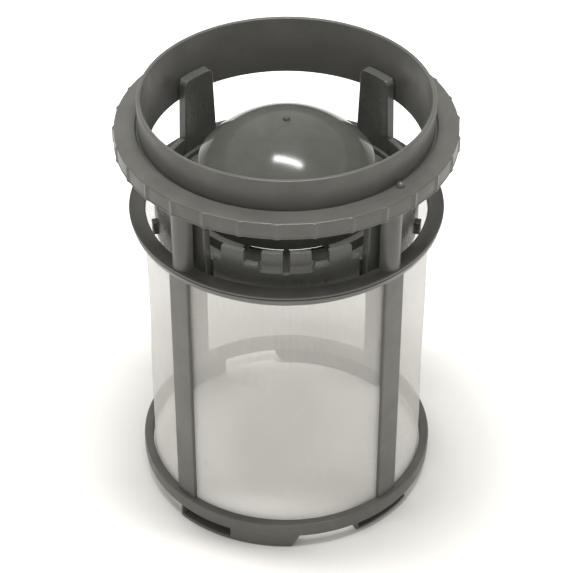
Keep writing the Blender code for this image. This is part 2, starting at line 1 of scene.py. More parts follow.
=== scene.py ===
"""A dishwasher filter standing on a pale floor, with every moulded part and the mesh made fine.

Lengths are in metres. The filter stands on the lugs of its cage, with +Z up. An azimuth is in
degrees, 0 towards the front (-Y) and growing towards the right (+X). A profile is a list of
(radius, height) points at the front, which is then spun round the filter's axis.
"""
from math import asin, atan2, ceil, copysign, cos, degrees, hypot, pi, radians, sin, sqrt, tan, tau

import bmesh
import bpy
from bpy.props import FloatProperty, FloatVectorProperty, IntProperty, PointerProperty
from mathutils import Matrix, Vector


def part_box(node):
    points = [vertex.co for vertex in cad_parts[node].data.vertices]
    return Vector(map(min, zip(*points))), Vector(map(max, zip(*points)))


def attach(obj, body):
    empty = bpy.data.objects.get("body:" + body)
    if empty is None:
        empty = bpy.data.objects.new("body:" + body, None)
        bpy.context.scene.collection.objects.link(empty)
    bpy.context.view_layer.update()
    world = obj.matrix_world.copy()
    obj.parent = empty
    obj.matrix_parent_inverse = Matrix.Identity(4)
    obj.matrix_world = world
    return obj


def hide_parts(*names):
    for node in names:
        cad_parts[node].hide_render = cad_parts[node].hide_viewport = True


bl_info = {
    "name": "Dishwasher Filter",
    "version": (1, 0, 0),
    "blender": (4, 5, 0),
    "location": "View3D > Sidebar > Filter",
    "description": "Builds a dishwasher filter with a grip collar, a domed strainer and a mesh cage",
    "category": "Mesh",
}

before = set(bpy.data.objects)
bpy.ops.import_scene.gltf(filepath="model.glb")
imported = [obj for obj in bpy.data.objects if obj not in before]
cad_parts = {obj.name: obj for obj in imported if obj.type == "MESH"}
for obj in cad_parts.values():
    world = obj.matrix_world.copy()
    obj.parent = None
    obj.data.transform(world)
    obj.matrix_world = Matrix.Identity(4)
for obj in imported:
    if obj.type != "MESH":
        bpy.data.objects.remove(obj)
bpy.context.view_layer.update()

MM = 0.001
NEAR = 0.1 * MM
BODY = "root"
FULL_TURN = 360.0
UP = (0.0, 0.0, 1.0)

# The most that one straight step of a rounded corner turns
ARC_STEP = radians(20.0)

# Azimuths of what stands at the four corners, of the ribs at the sides and of the index pip
TABS = (-135.0, -45.0, 45.0, 135.0)
POSTS = (-137.0, -43.0, 43.0, 137.0)
BARS = (-138.0, -45.0, 45.0, 138.0)
RIBS = (-103.0, -77.0, 77.0, 103.0)
PIP = 44.6

# Degrees that a ridge of the grip flange reaches to each side, and the azimuth of the first
RIDGE_REACH = 1.3
FIRST_RIDGE = 9.0

# Azimuths where the strainer's wall changes, the same to the left and the right
SLIT_END = 1.5
INNER_TOOTH_END = 10.5
OUTER_TOOTH = (18.0, 28.0)
FRONT_BREAK = (32.0, 54.5)
SHOULDER_END = 65.0
BACK_BREAK = (125.5, 148.0)

# Degrees to each side that a tab's web, ledge and arm reach, and where a quarter of the dome has its slots
WEB_REACH = 14.6
LEDGE_REACH = 20.6
ARM_REACH = 9.3
SLOT_REACH = (1.5, 21.5)

# Azimuths of the ends of the lugs in front and of the long lug's slot, and the slant of its end
LONG_LUG = (-46.0, 5.1)
LONG_SLOT = (-45.2, -22.4)
LUG_SLANT = 3.1
SET_BACK_LUG = (29.5, 57.8)

# The dome's nub: shares of its radius, and heights over the dome in millimetres
NUB = ((0.0, 0.68), (0.3, 0.72), (0.5, 0.82), (0.7, 0.80), (0.86, 0.62), (0.95, 0.32), (1.0, 0.05),
       (1.3, -0.06))

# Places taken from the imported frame
HOUSING_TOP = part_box("upper_housing")[1].z
STRAINER_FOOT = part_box("coarse_strainer")[0].z
SLEEVE_LOW, SLEEVE_HIGH = (corner.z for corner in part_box("mesh_sleeve"))


def amount(name, default, description, **settings):
    """A number from 0 up that the user can change."""
    return FloatProperty(name=name, description=description, default=default, min=0.0, **settings)


def length(name, default, description):
    """A length that the user can change, with its default in millimetres."""
    return amount(name, default * MM, description, precision=5, unit="LENGTH")


def colour(name, default, description):
    """A colour that the user can change."""
    return FloatVectorProperty(name=name, description=description, default=default, size=3, min=0.0,
                               max=1.0, subtype="COLOR")


def share(name, default, description):
    """A number from 0 to 1 that the user can change."""
    return amount(name, default, description, max=1.0, subtype="FACTOR")


class HousingSizes(bpy.types.PropertyGroup):
    """Sizes of the upper housing."""
    collar_radius: length("Collar radius", 38.7, "Outside of the plain collar")
    collar_rim_bore: length("Collar rim bore", 37.6, "Inside of the collar at its rim")
    collar_bore: length("Collar bore", 36.3, "Inside of the collar at its lower edge")
    collar_bottom: length("Collar bottom", 106.7, "Height of the collar's lower edge")
    grip_radius: length("Grip radius", 44.9, "Outside of the grip flange between its ridges")
    grip_bottom: length("Grip bottom", 110.1, "Height of the grip flange's underside")
    grip_top: length("Grip top", 114.6, "Height of the grip flange's top")
    grip_wall: length("Grip wall", 1.5, "Thickness of the grip flange's outer wall")
    ridge_height: length("Ridge height", 0.43, "How far a ridge stands out of the grip flange")
    ridge_count: IntProperty(name="Ridges", description="Ridges round the grip flange", default=30, min=3)
    post_width: length("Post width", 6.0, "Width of a half-round post")
    flange_radius: length("Lower flange radius", 42.1, "Outside of the lower flange")
    flange_bottom: length("Lower flange bottom", 88.7, "Height of the lower flange's underside")
    flange_top: length("Lower flange top", 89.5, "Height of the lower flange's top")
    bore: length("Lower flange bore", 37.7, "Inside of the lower flange and its spigot")
    softness: length("Edge softness", 0.35, "Radius of the moulded edges")


class StrainerSizes(bpy.types.PropertyGroup):
    """Sizes of the coarse strainer."""
    radius: length("Wall radius", 35.3, "Outside of the strainer's wall")
    wall: length("Wall thickness", 1.4, "Thickness of the strainer's wall")
    sill: length("Sill height", 94.2, "Height of the wall in front and behind")
    side_top: length("Side height", 95.5, "Height of the wall at the sides")
    shoulder_top: length("Shoulder height", 99.0, "Height of the side walls beside the tabs")
    tooth_top: length("Tooth height", 97.8, "Height of the teeth in front")
    tooth_step: length("Tooth step", 0.5, "How far the inner teeth are set back")
    tooth_foot: length("Tooth foot", 92.5, "Height where the inner teeth are set back")
    slit_floor: length("Slit floor", 91.6, "Height of the bottom of the slit in front")
    tab_radius: length("Tab radius", 36.0, "Outside of a finger tab")
    tab_thickness: length("Tab thickness", 2.4, "Thickness of a finger tab")
    tab_top: length("Tab top", 113.5, "Height of a finger tab's end")
    tab_top_width: length("Tab top width", 10.6, "Width of a finger tab at its end")
    tab_foot_width: length("Tab foot width", 13.2, "Width of a finger tab at its foot")
    ledge_radius: length("Ledge radius", 27.9, "Outside of the ledges on the dome's skirt")
    ledge_top: length("Ledge top", 92.3, "Height of the ledges on the dome's skirt")
    arm_top: length("Arm top", 89.4, "Height of the arms that carry the dome")
    arm_thickness: length("Arm thickness", 1.2, "Thickness of the arms and ledges")
    skirt_radius: length("Skirt radius", 26.0, "Outside of the dome's skirt")
    dome_radius: length("Dome rim radius", 23.2, "Outside of the dome's rim")
    dome_rim: length("Dome rim height", 103.5, "Height of the dome's rim")
    dome_wall: length("Dome wall", 1.2, "Thickness of the dome")
    slot_top: length("Slot top", 92.5, "Height of the upper edge of the slots under the dome")
    slot_height: length("Slot height", 1.1, "Height of the slots under the dome")
    rib_width: length("Rib width", 2.4, "Width of a locating rib")
    rib_bottom: length("Rib bottom", 84.7, "Height of the lower end of the locating ribs")
    rib_top: length("Rib top", 88.4, "Height of the upper end of the locating ribs")


class CageSizes(bpy.types.PropertyGroup):
    """Sizes of the cage and of the mesh inside it."""
    bore: length("Cage bore", 38.8, "Inside of the rings")
    ring_radius: length("Base ring radius", 41.3, "Outside of the base ring")
    ring_bottom: length("Base ring bottom", 4.0, "Height of the base ring's underside")
    ring_top: length("Base ring top", 8.2, "Height of the base ring's top")
    top_ring_radius: length("Top ring radius", 42.0, "Outside of the top ring")
    top_ring_bottom: length("Top ring bottom", 86.6, "Height of the top ring's underside")
    top_ring_top: length("Top ring top", 88.4, "Height of the top ring's top")
    bar_face: length("Bar face radius", 39.9, "Outside of the bars")
    bar_width: length("Bar width", 6.8, "Width of a bar")
    lug_inner: length("Lug inner radius", 37.6, "Inside of the bayonet lugs")
    sleeve_radius: length("Mesh radius", 38.35, "Radius of the woven mesh")
    sleeve_waist: length("Mesh waist", 0.3, "How far the mesh is drawn in between the bars")
    thread_pitch: length("Thread pitch", 0.30, "Distance between the threads of the mesh")


class FilterFinish(bpy.types.PropertyGroup):
    """Colours and finish of the plastic and the mesh."""
    housing_colour: colour("Housing colour", (0.086, 0.085, 0.076), "Grey of the upper housing")
    strainer_colour: colour("Strainer colour", (0.078, 0.078, 0.069), "Grey of the coarse strainer")
    cage_colour: colour("Cage colour", (0.097, 0.095, 0.085), "Grey of the cage")
    mesh_colour: colour("Mesh colour", (0.64, 0.632, 0.598), "Pale grey of the mesh")
    plastic_roughness: share("Plastic roughness", 0.36, "Roughness of the matt mouldings")
    dome_roughness: share("Dome roughness", 0.15, "Roughness of the polished dome")
    thread_cover: share("Thread cover", 0.50, "How much of the view the mesh's threads hide")


class StageLook(bpy.types.PropertyGroup):
    """Floor, light and camera."""
    floor_colour: colour("Floor colour", (0.80, 0.787, 0.755), "Colour of the floor")
    # Painted light: the floor itself glows, from nothing near the filter to this strength further out, so the
    # darker floor round the filter's foot is painted shade
    painted_floor_glow: amount("Floor glow", 0.5, "Light from the lit sweep away from the filter")
    key_power: amount("Key light", 3.1, "Power of the lamp over the filter", unit="POWER")
    back_power: amount("Back light", 2.6, "Power of the large lamp behind on the left", unit="POWER")
    front_power: amount("Front light", 0.25, "Power of the low soft lamp in front", unit="POWER")
    sky_strength: amount("Sky strength", 0.61, "Strength of the even light all round")
    sky_colour: colour("Sky colour", (1.0, 0.985, 0.955), "Colour of the even light all round")
    camera_distance: length("Camera distance", 566.8, "From the camera to the point it looks at")
    camera_target: length("Camera target", 59.8, "Height of the point the camera looks at")
    camera_pitch: amount("Camera pitch", radians(38.47), "How far the camera looks down",
                         subtype="ANGLE")
    camera_lens: amount("Camera lens", 128.89, "Focal length in millimetres")


# Selecting and finishing


def deselect():
    """Leave edit mode and select nothing."""
    if bpy.context.mode != "OBJECT":
        bpy.ops.object.mode_set(mode="OBJECT")
    bpy.ops.object.select_all(action="DESELECT")


def choose(piece):
    """Make one piece the selected and active one."""
    deselect()
    piece.select_set(True)
    bpy.context.view_layer.objects.active = piece


def named(name):
    """Name the piece that an operator has just added."""
    piece = bpy.context.object
    piece.name = name
    piece.data.name = name
    return piece


def edit():
    """Enter edit mode, with points to select."""
    bpy.ops.object.mode_set(mode="EDIT")
    bpy.ops.mesh.select_mode(type="VERT")


def select_whole():
    """Select a whole mesh in edit mode."""
    bpy.ops.mesh.select_all(action="SELECT")


def apply_place():
    """Apply the place, turn and scale of the chosen piece."""
    bpy.ops.object.transform_apply(location=True, rotation=True, scale=True)


def extrude(step):
    """Extrude what is selected by a step."""
    bpy.ops.mesh.extrude_region_move(TRANSFORM_OT_translate={"value": step})


def widen(across, deep, middle=0.0):
    """Scale what is selected across and in depth, about a middle that far before the axis."""
    bpy.ops.transform.resize(value=(across, deep, 1.0), center_override=(0.0, -middle, 0.0))


def pick_points(piece, test):
    """Select the points of a piece in edit mode whose place passes a test."""
    shape = bmesh.from_edit_mesh(piece.data)
    for vertex in shape.verts:
        vertex.select = test(vertex.co)
    shape.select_flush_mode()
    bmesh.update_edit_mesh(piece.data)


def pick_edges(piece, test):
    """Select the edges of a piece in edit mode whose two ends pass a test together."""
    bpy.ops.mesh.select_mode(type="EDGE")
    shape = bmesh.from_edit_mesh(piece.data)
    for element in (*shape.verts, *shape.faces):
        element.select = False
    for edge in shape.edges:
        edge.select = test(edge.verts[0].co, edge.verts[1].co)
    shape.select_flush_mode()
    bmesh.update_edit_mesh(piece.data)


def pick_faces(piece, test):
    """Select the faces of a piece in edit mode whose middle and normal pass a test."""
    bpy.ops.mesh.select_mode(type="FACE")
    shape = bmesh.from_edit_mesh(piece.data)
    for face in shape.faces:
        face.select_set(False)
    for face in shape.faces:
        if test(face.calc_center_median(), face.normal):
            face.select_set(True)
    bmesh.update_edit_mesh(piece.data)


def azimuth_of(place):
    """Azimuth of a point in degrees, from -180 to 180."""
    return degrees(atan2(place.x, -place.y))


def radius_of(place):
    """Distance of a point from the filter's axis."""
    return hypot(place.x, place.y)


def apply_all(piece):
    """Apply every modifier of a piece, in order."""
    choose(piece)
    for modifier in list(piece.modifiers):
        bpy.ops.object.modifier_apply(modifier=modifier.name)


def soften(piece, width, segments=3, angle=35.0):
    """Round the sharp edges of a piece and keep its flat faces flat in the light."""
    choose(piece)
    bpy.ops.object.shade_smooth()
    bevel = piece.modifiers.new("soft_edges", "BEVEL")
    bevel.width = width
    bevel.segments = segments
    bevel.limit_method = "ANGLE"
    bevel.angle_limit = radians(angle)
    bevel.use_clamp_overlap = True
    weight = piece.modifiers.new("even_shading", "WEIGHTED_NORMAL")
    weight.keep_sharp = True
    weight.weight = 60
    apply_all(piece)


def smooth(piece, angle=40.0):
    """Shade a piece smooth apart from its sharp edges."""
    choose(piece)
    bpy.ops.object.shade_smooth_by_angle(angle=radians(angle))


def settle(piece, node, material):
    """Apply a finished piece's place, give it its material in a slot, attach it to its body and hide the
    imported node that it replaces.
    """
    choose(piece)
    apply_place()
    piece.data.materials.clear()
    piece.data.materials.append(material)
    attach(piece, BODY)
    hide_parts(node)
    deselect()


def joined(pieces, name):
    """Join pieces into one object."""
    deselect()
    for piece in pieces:
        piece.select_set(True)
    bpy.context.view_layer.objects.active = pieces[0]
    bpy.ops.object.join()
    return named(name)


def turned_copies(piece, azimuths, name):
    """Copy a piece that faces the front to each azimuth, and join the copies."""
    copies = []
    for azimuth in azimuths:
        choose(piece)
        bpy.ops.object.duplicate()
        copy = bpy.context.object
        copy.rotation_euler.z = radians(azimuth)
        apply_place()
        copies.append(copy)
    bpy.data.objects.remove(piece)
    return joined(copies, name)


def weld():
    """Weld the seams of a mesh in edit mode, face it outwards and leave edit mode."""
    select_whole()
    bpy.ops.mesh.remove_doubles(threshold=0.001 * MM)
    bpy.ops.mesh.normals_make_consistent()
    deselect()


def welded(piece):
    """Weld the seams between the joined copies of a sector."""
    choose(piece)
    edit()
    weld()
    return piece


# Modelling


def rounded(corners):
    """Outline points from (radius, height, rounding) corners, with each rounding as an arc."""
    points = []
    for index, (across, up, rounding) in enumerate(corners):
        corner = Vector((across, up))
        if rounding == 0.0:
            points.append(corner)
            continue
        back = (Vector(corners[index - 1][:2]) - corner).normalized()
        ahead = (Vector(corners[(index + 1) % len(corners)][:2]) - corner).normalized()
        half = back.angle(ahead) / 2.0
        middle = corner + (back + ahead).normalized() * (rounding / sin(half))
        start = corner + back * (rounding / tan(half)) - middle
        end = corner + ahead * (rounding / tan(half)) - middle
        sweep = pi - 2.0 * half
        side = copysign(1.0, start.x * end.y - start.y * end.x)
        steps = max(2, ceil(sweep / ARC_STEP))
        for step in range(steps + 1):
            turn = side * sweep * step / steps
            points.append(middle + Vector((start.x * cos(turn) - start.y * sin(turn),
                                           start.x * sin(turn) + start.y * cos(turn))))
    return points


def draw_profile(name, points, closed=True):
    """Draw a profile at the front by extruding one point along it, and stay in edit mode."""
    deselect()
    bpy.ops.mesh.primitive_plane_add(size=MM)
    piece = named(name)
    edit()
    bpy.ops.mesh.merge(type="CENTER")
    bpy.ops.transform.translate(value=(0.0, -points[0][0], points[0][1]))
    for here, following in zip(points, points[1:]):
        extrude((0.0, here[0] - following[0], following[1] - here[1]))
    if closed:
        shape = bmesh.from_edit_mesh(piece.data)
        shape.verts.ensure_lookup_table()
        shape.verts[0].select = True
        shape.verts[-1].select = True
        bmesh.update_edit_mesh(piece.data)
        bpy.ops.mesh.edge_face_add()
    return piece


def spin_round(piece, steps, start=0.0, turn=FULL_TURN):
    """Spin a profile round the axis, from a start azimuth through a turn, and weld its seam."""
    select_whole()
    bpy.ops.mesh.spin(steps=steps, angle=-radians(turn), center=(0.0, 0.0, 0.0), axis=UP)
    weld()
    piece.rotation_euler.z = radians(start)
    choose(piece)
    apply_place()
    return piece


def turned(name, corners):
    """Turn a closed profile of (radius, height, rounding) corners round the axis."""
    return spin_round(draw_profile(name, rounded(corners)), 360)


def face_outward(piece):
    """Turn the faces of an open wall, in edit mode, away from the axis and upwards."""
    select_whole()
    bpy.ops.mesh.normals_make_consistent()
    shape = bmesh.from_edit_mesh(piece.data)
    outward = 0.0
    for face in shape.faces:
        middle = face.calc_center_median()
        outward += face.normal.dot(Vector((middle.x, middle.y, 0.0)).normalized() + Vector(UP))
    if outward < 0.0:
        bpy.ops.mesh.flip_normals()


def thicken(piece, thickness):
    """Give an open wall its thickness on its inner side."""
    choose(piece)
    edit()
    face_outward(piece)
    deselect()
    wall = piece.modifiers.new("wall", "SOLIDIFY")
    wall.thickness = thickness
    wall.offset = -1.0
    wall.use_even_offset = True
    apply_all(piece)


def slice_across(piece, places, normal=(1.0, 0.0, 0.0)):
    """Cut a piece in edit mode through each place along a normal, to let it bend there."""
    direction = Vector(normal)
    for place in places:
        select_whole()
        bpy.ops.mesh.bisect(plane_co=direction * place, plane_no=normal)


def evenly(half, count):
    """Places that part the width from -half to half into 2 x count even steps."""
    return [half * step / count for step in range(1 - count, count)]


def wrap(piece, radius, slices=()):
    """Slice a flat piece before the front, and roll it round the axis: x runs along that radius."""
    slice_across(piece, slices)
    deselect()
    for vertex in piece.data.vertices:
        turn = vertex.co.x / radius
        reach = -vertex.co.y
        vertex.co.x = reach * sin(turn)
        vertex.co.y = -reach * cos(turn)


def flat_block(name, width, outer, inner, bottom, top, middle=0.0):
    """Add a block before the front, from an inner to an outer radius, and stay in edit mode."""
    deselect()
    bpy.ops.mesh.primitive_cube_add(size=1.0, location=(middle, -(outer + inner) / 2.0, (top + bottom) / 2.0),
                                    scale=(width, outer - inner, top - bottom))
    piece = named(name)
    apply_place()
    edit()
    return piece


# Materials


def node_setup(name):
    """A new material, its tree and its shader."""
    material = bpy.data.materials.new(name)
    material.use_nodes = True
    tree = material.node_tree
    return material, tree, tree.nodes["Principled BSDF"]


def adjust(node, **settings):
    """Set a node's settings and its input values by name, with _ for a space."""
    for key, value in settings.items():
        if hasattr(node, key):
            setattr(node, key, value)
        else:
            node.inputs[key.replace("_", " ")].default_value = value
    return node


def add_node(tree, kind, **settings):
    """Add a shader node of a kind with its settings and input values."""
    return adjust(tree.nodes.new("ShaderNode" + kind), **settings)


def shaded(base, factor=1.0):
    """A colour made darker or lighter, for a node."""
    return (*[channel * factor for channel in base], 1.0)


def wire(source, output, target, entry):
    """Connect an output of one node to an input of another in the same tree."""
    source.id_data.links.new(source.outputs[output], target.inputs[entry])


def noise(tree, place, scale, detail, roughness):
    """Add a noise texture that lies on a piece's own space."""
    texture = add_node(tree, "TexNoise", Scale=scale, Detail=detail, Roughness=roughness)
    wire(place, "Object", texture, "Vector")
    return texture


def moulded_plastic(name, base, roughness, grain=0.10, sheen_spots=0.07, bend=1.47):
    """Moulded plastic: a fine spark-eroded grain, slow tone changes and duller patches."""
    material, tree, shader = node_setup(name)
    place = add_node(tree, "TexCoord")
    tone = noise(tree, place, 90.0, 7.0, 0.68)
    tint = add_node(tree, "ValToRGB")
    for stop, position, factor in zip(tint.color_ramp.elements, (0.30, 0.72), (0.84, 1.14)):
        stop.position = position
        stop.color = shaded(base, factor)
    wire(tone, "Fac", tint, "Fac")
    wire(tint, "Color", shader, "Base Color")
    patches = noise(tree, place, 130.0, 4.0, 0.6)
    dull = add_node(tree, "MapRange", From_Min=0.3, From_Max=0.7,
                    To_Min=roughness - sheen_spots, To_Max=roughness + sheen_spots)
    wire(patches, "Fac", dull, "Value")
    wire(dull, "Result", shader, "Roughness")
    pits = noise(tree, place, 2600.0, 2.0, 0.5)
    bump = add_node(tree, "Bump", Strength=grain, Distance=0.05 * MM)
    wire(pits, "Fac", bump, "Height")
    wire(bump, "Normal", shader, "Normal")
    adjust(shader, Metallic=0.0, IOR=bend)
    return material


def woven_mesh(name, base, cover, pitch):
    """Fine woven mesh: threads over and under, seen through between, on the piece's own UV map."""
    material, tree, shader = node_setup(name)
    weave = add_node(tree, "UVMap", uv_map="weave")
    split = add_node(tree, "SeparateXYZ")
    wire(weave, "UV", split, "Vector")
    waves = []
    for axis in ("X", "Y"):
        scaled = add_node(tree, "Math", operation="MULTIPLY")
        scaled.inputs[1].default_value = tau / pitch
        wire(split, axis, scaled, 0)
        wave = add_node(tree, "Math", operation="COSINE")
        wire(scaled, "Value", wave, 0)
        lifted = add_node(tree, "MapRange", interpolation_type="SMOOTHSTEP",
                          From_Min=-0.6, From_Max=0.9)
        wire(wave, "Value", lifted, "Value")
        waves.append(lifted)
    threads = add_node(tree, "Math", operation="MAXIMUM")
    wire(waves[0], "Result", threads, 0)
    wire(waves[1], "Result", threads, 1)
    place = add_node(tree, "TexCoord")
    cloud = noise(tree, place, 32.0, 3.0, 0.55)
    drift = add_node(tree, "MapRange", To_Min=-0.07, To_Max=0.07)
    wire(cloud, "Fac", drift, "Value")
    spread = add_node(tree, "MapRange", To_Min=cover - 0.15, To_Max=cover + 0.13)
    wire(threads, "Value", spread, "Value")
    hidden = add_node(tree, "Math", operation="ADD", use_clamp=True)
    wire(spread, "Result", hidden, 0)
    wire(drift, "Result", hidden, 1)
    wire(hidden, "Value", shader, "Alpha")
    tint = add_node(tree, "Mix", data_type="RGBA", A=shaded(base, 0.90), B=shaded(base))
    wire(threads, "Value", tint, "Factor")
    wire(tint, "Result", shader, "Base Color")
    bump = add_node(tree, "Bump", Strength=0.35, Distance=0.08 * MM)
    wire(threads, "Value", bump, "Height")
    wire(bump, "Normal", shader, "Normal")
    adjust(shader, Roughness=0.55, Specular_IOR_Level=0.35)
    return material


def finish_named(name, make, *values, **looks):
    """The material of that name, made the first time that it is asked for."""
    return bpy.data.materials.get(name) or make(name, *values, **looks)


def housing_plastic():
    """Satin grey plastic of the upper housing."""
    finish = bpy.context.scene.filter_finish
    return finish_named("housing_plastic_satin", moulded_plastic, finish.housing_colour,
                        finish.plastic_roughness)


def strainer_plastic():
    """Satin grey plastic of the strainer's wall, tabs and arms, a little smoother than the housing's."""
    finish = bpy.context.scene.filter_finish
    return finish_named("strainer_plastic_satin", moulded_plastic, finish.strainer_colour,
                        finish.plastic_roughness - 0.08)


def dome_plastic():
    """Polished grey plastic of the dome."""
    finish = bpy.context.scene.filter_finish
    return finish_named("dome_plastic_polished", moulded_plastic, finish.strainer_colour,
                        finish.dome_roughness, grain=0.03, sheen_spots=0.02, bend=1.33)


def cage_plastic():
    """Satin grey plastic of the cage, a little duller than the housing's."""
    finish = bpy.context.scene.filter_finish
    return finish_named("cage_plastic_satin", moulded_plastic, finish.cage_colour,
                        finish.plastic_roughness + 0.03)


# Upper housing


class FILTER_OT_collar(bpy.types.Operator):
    """Turn the collar and the grip flange as one moulding, and raise the ridges round its edge"""
    bl_idname = "filter.collar"
    bl_label = "Collar and Grip Flange"

    def execute(self, context):
        sizes = context.scene.housing_sizes
        soft = sizes.softness
        web = sizes.grip_top - 1.7 * MM
        boss = sizes.collar_radius + 1.2 * MM
        skirt = sizes.collar_bore + 1.2 * MM
        edge = 0.45 * MM
        groove = sizes.grip_top - 0.6 * MM
        bead = sizes.grip_radius + 0.14 * MM
        inside = sizes.grip_radius - sizes.grip_wall
        profile = rounded([
            (sizes.collar_radius, HOUSING_TOP, soft),
            (sizes.collar_radius, groove, 0.12 * MM),
            (sizes.collar_radius + 0.5 * MM, groove, 0.12 * MM),
            (sizes.collar_radius + 0.7 * MM, sizes.grip_top, 0.25 * MM),
            (sizes.grip_radius, sizes.grip_top, edge),
            (sizes.grip_radius, sizes.grip_bottom + 0.5 * MM, 0.1 * MM),
            (bead, sizes.grip_bottom + 0.36 * MM, 0.1 * MM),
            (bead, sizes.grip_bottom, 0.16 * MM),
            (inside, sizes.grip_bottom, soft),
            (inside, web, soft),
            (boss, web, soft),
            (boss, sizes.grip_bottom, soft),
            (skirt, sizes.grip_bottom - 1.0 * MM, 0.8 * MM),
            (skirt, sizes.collar_bottom, soft),
            (sizes.collar_bore, sizes.collar_bottom, soft),
            (sizes.collar_rim_bore, HOUSING_TOP, soft)])
        pitch = FULL_TURN / sizes.ridge_count
        sector = draw_profile("grip_sector", profile)
        spin_round(sector, 24, start=-pitch / 2.0, turn=pitch)
        inner = sizes.grip_radius - edge
        crest = sizes.grip_radius + sizes.ridge_height
        for vertex in sector.data.vertices:
            reach = radius_of(vertex.co)
            off = abs(azimuth_of(vertex.co))
            if reach > inner and off < RIDGE_REACH:
                rise = (1.0 - off / RIDGE_REACH) * min(1.0, (reach - inner) / edge) ** 0.5
                grown = min(reach + sizes.ridge_height * rise, crest) / reach
                vertex.co.x *= grown
                vertex.co.y *= grown
        azimuths = [FIRST_RIDGE + pitch * index for index in range(sizes.ridge_count)]
        collar = welded(turned_copies(sector, azimuths, "collar_and_grip_flange"))
        smooth(collar, 32.0)
        settle(collar, "upper_housing", housing_plastic())
        return {"FINISHED"}


class FILTER_OT_index_pip(bpy.types.Operator):
    """Set the small round index pip on the grip flange, beside the collar"""
    bl_idname = "filter.index_pip"
    bl_label = "Index Pip"

    def execute(self, context):
        sizes = context.scene.housing_sizes
        radius = 1.15 * MM
        reach = sizes.collar_radius + radius + 0.55 * MM
        turn = radians(PIP)
        deselect()
        bpy.ops.mesh.primitive_uv_sphere_add(segments=32, ring_count=16, radius=radius, location=(
            reach * sin(turn), -reach * cos(turn), sizes.grip_top))
        pip = named("index_pip")
        pip.scale.z = 1.05
        apply_place()
        edit()
        select_whole()
        bpy.ops.mesh.bisect(plane_co=(0.0, 0.0, sizes.grip_top - 0.2 * MM), plane_no=UP, use_fill=True,
                            clear_inner=True)
        smooth(pip)
        settle(pip, "upper_housing", housing_plastic())
        return {"FINISHED"}


class FILTER_OT_posts(bpy.types.Operator):
    """Raise the four half-round posts between the flanges, flared at both ends"""
    bl_idname = "filter.posts"
    bl_label = "Posts"

    def execute(self, context):
        sizes = context.scene.housing_sizes
        radius = sizes.post_width / 2.0
        middle = 38.5 * MM
        back = 0.6 * MM
        sunk = 0.3 * MM
        deselect()
        foot = sizes.flange_top - sunk
        bpy.ops.mesh.primitive_circle_add(vertices=64, radius=radius, fill_type="NGON",
                                          location=(0.0, -middle, foot))
        post = named("post")
        apply_place()
        edit()
        select_whole()
        bpy.ops.mesh.bisect(plane_co=(0.0, back - middle, 0.0), plane_no=(0.0, -1.0, 0.0),
                            use_fill=True, clear_inner=True)
        select_whole()
        flare = 0.45 * MM
        run = 1.5 * MM
        rise = sizes.grip_bottom + sunk - foot
        marks = [run * step / 6.0 for step in range(1, 7)]
        marks += [rise - mark for mark in reversed(marks)] + [rise]
        wide = 1.0 + flare / radius
        widen(wide, wide, middle)
        last = 0.0
        for mark in marks:
            gap = min(mark, rise - mark) / run
            width = 1.0 + flare / radius * (1.0 - sqrt(max(0.0, 1.0 - (1.0 - min(1.0, gap)) ** 2)))
            extrude((0.0, 0.0, mark - last))
            widen(width / wide, width / wide, middle)
            wide = width
            last = mark
        select_whole()
        bpy.ops.mesh.normals_make_consistent()
        smooth(post, 50.0)
        posts = turned_copies(post, POSTS, "posts")
        settle(posts, "upper_housing", housing_plastic())
        return {"FINISHED"}


class FILTER_OT_lower_flange(bpy.types.Operator):
    """Turn the lower flange and the spigot that drops into the cage"""
    bl_idname = "filter.lower_flange"
    bl_label = "Lower Flange"

    def execute(self, context):
        sizes = context.scene.housing_sizes
        spigot = sizes.bore + 1.4 * MM
        foot = context.scene.cage_sizes.top_ring_bottom + 0.6 * MM
        fine = 0.2 * MM
        flange = turned("lower_flange", [
            (sizes.flange_radius, sizes.flange_top, sizes.softness),
            (sizes.flange_radius, sizes.flange_bottom, fine),
            (spigot, sizes.flange_bottom, fine),
            (spigot, foot, fine),
            (sizes.bore, foot, fine),
            (sizes.bore, sizes.flange_top, sizes.softness)])
        smooth(flange)
        settle(flange, "upper_housing", housing_plastic())
        return {"FINISHED"}


# Coarse strainer


class FILTER_OT_strainer_wall(bpy.types.Operator):
    """Spin the strainer's wall, cut its teeth, slit and breaks, and give it thickness"""
    bl_idname = "filter.strainer_wall"
    bl_label = "Strainer Wall"

    def execute(self, context):
        sizes = context.scene.strainer_sizes
        band_top = STRAINER_FOOT + 1.6 * MM
        slope = 0.3 * MM
        steps = 720
        levels = [STRAINER_FOOT, band_top, sizes.slit_floor, sizes.tooth_foot - slope,
                  sizes.tooth_foot + slope, sizes.sill, sizes.side_top, sizes.tooth_top, sizes.shoulder_top]
        wall = draw_profile("strainer_wall", [(sizes.radius, level) for level in levels], closed=False)
        spin_round(wall, steps)
        edit()

        def is_gap(middle, normal):
            away = abs(azimuth_of(middle))
            if FRONT_BREAK[0] < away < FRONT_BREAK[1] or BACK_BREAK[0] < away < BACK_BREAK[1]:
                return middle.z > band_top
            if away < SLIT_END:
                return middle.z > sizes.slit_floor
            if away < INNER_TOOTH_END or OUTER_TOOTH[0] < away < OUTER_TOOTH[1]:
                return middle.z > sizes.tooth_top
            if away < FRONT_BREAK[0] or away > BACK_BREAK[1]:
                return middle.z > sizes.sill
            return middle.z > sizes.side_top and away > SHOULDER_END

        pick_faces(wall, is_gap)
        bpy.ops.mesh.delete(type="FACE")
        half_step = FULL_TURN / steps / 2.0
        pick_points(wall, lambda place: place.z > sizes.tooth_foot
                    and SLIT_END - half_step < abs(azimuth_of(place)) < INNER_TOOTH_END + half_step)
        inset = (sizes.radius - sizes.tooth_step) / sizes.radius
        widen(inset, inset)
        thicken(wall, sizes.wall)
        soften(wall, 0.16 * MM, segments=2, angle=50.0)
        settle(wall, "coarse_strainer", strainer_plastic())
        return {"FINISHED"}


